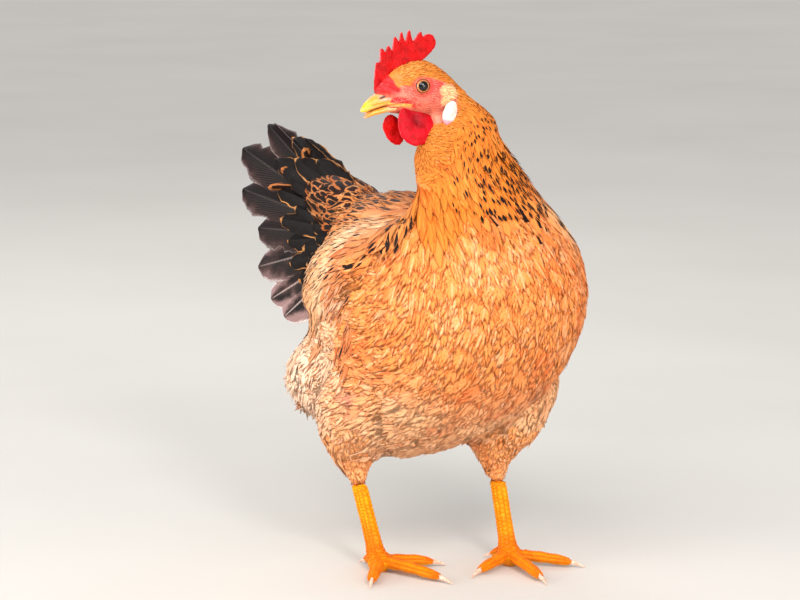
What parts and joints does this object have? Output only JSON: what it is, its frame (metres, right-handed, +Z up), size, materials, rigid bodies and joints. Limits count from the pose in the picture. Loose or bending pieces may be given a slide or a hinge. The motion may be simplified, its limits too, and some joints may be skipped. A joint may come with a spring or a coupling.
{
  "type": "chicken",
  "caption": "Life-size laying hen standing alert, head turned over its right shoulder, with orange hackles, tan wings, a dark fanned tail, red comb and wattles and yellow legs.",
  "frame": {"origin": "On the floor under the middle of the hen's bounding box", "axes": "+Z up; the hen's trunk faces -Y and its left side is +X"},
  "size_m": [0.1806, 0.3416, 0.4109],
  "materials": {
    "breast": "soft overlapping feathers, matt",
    "hackle": "narrow pointed feathers with a silky gloss",
    "crown": "very short close feathers, matt",
    "wing": "broad smooth feathers, satin",
    "tail": "stiff feathers, satin with a dull purple sheen",
    "fluff": "loose wispy feathers, matt",
    "comb": "finely granular skin, waxy",
    "wattle": "finely granular skin, waxy",
    "earlobe": "smooth pale skin",
    "bill": "smooth horn, satin",
    "eye": "wet and clear",
    "shank": "horny scales, satin",
    "claw": "smooth horn, satin"
  },
  "bodies": {
    "root": {"bill_lower": "bill", "bill_upper": "bill", "claw_hind_left": "claw", "claw_hind_right": "claw", "claw_inner_left": "claw", "claw_inner_right": "claw", "claw_middle_left": "claw", "claw_middle_right": "claw", "claw_outer_left": "claw", "claw_outer_right": "claw", "comb": "comb", "earlobe_left": "earlobe", "earlobe_right": "earlobe", "eye_left": "eye", "eye_right": "eye", "foot_left": "shank", "foot_right": "shank", "head": "crown", "neck": "hackle", "shank_left": "shank", "shank_right": "shank", "tail": "tail", "thigh_left": "fluff", "thigh_right": "fluff", "trunk": "breast", "wattle_left": "wattle", "wattle_right": "wattle", "wing_left": "wing", "wing_right": "wing"}
  },
  "joints": []
}
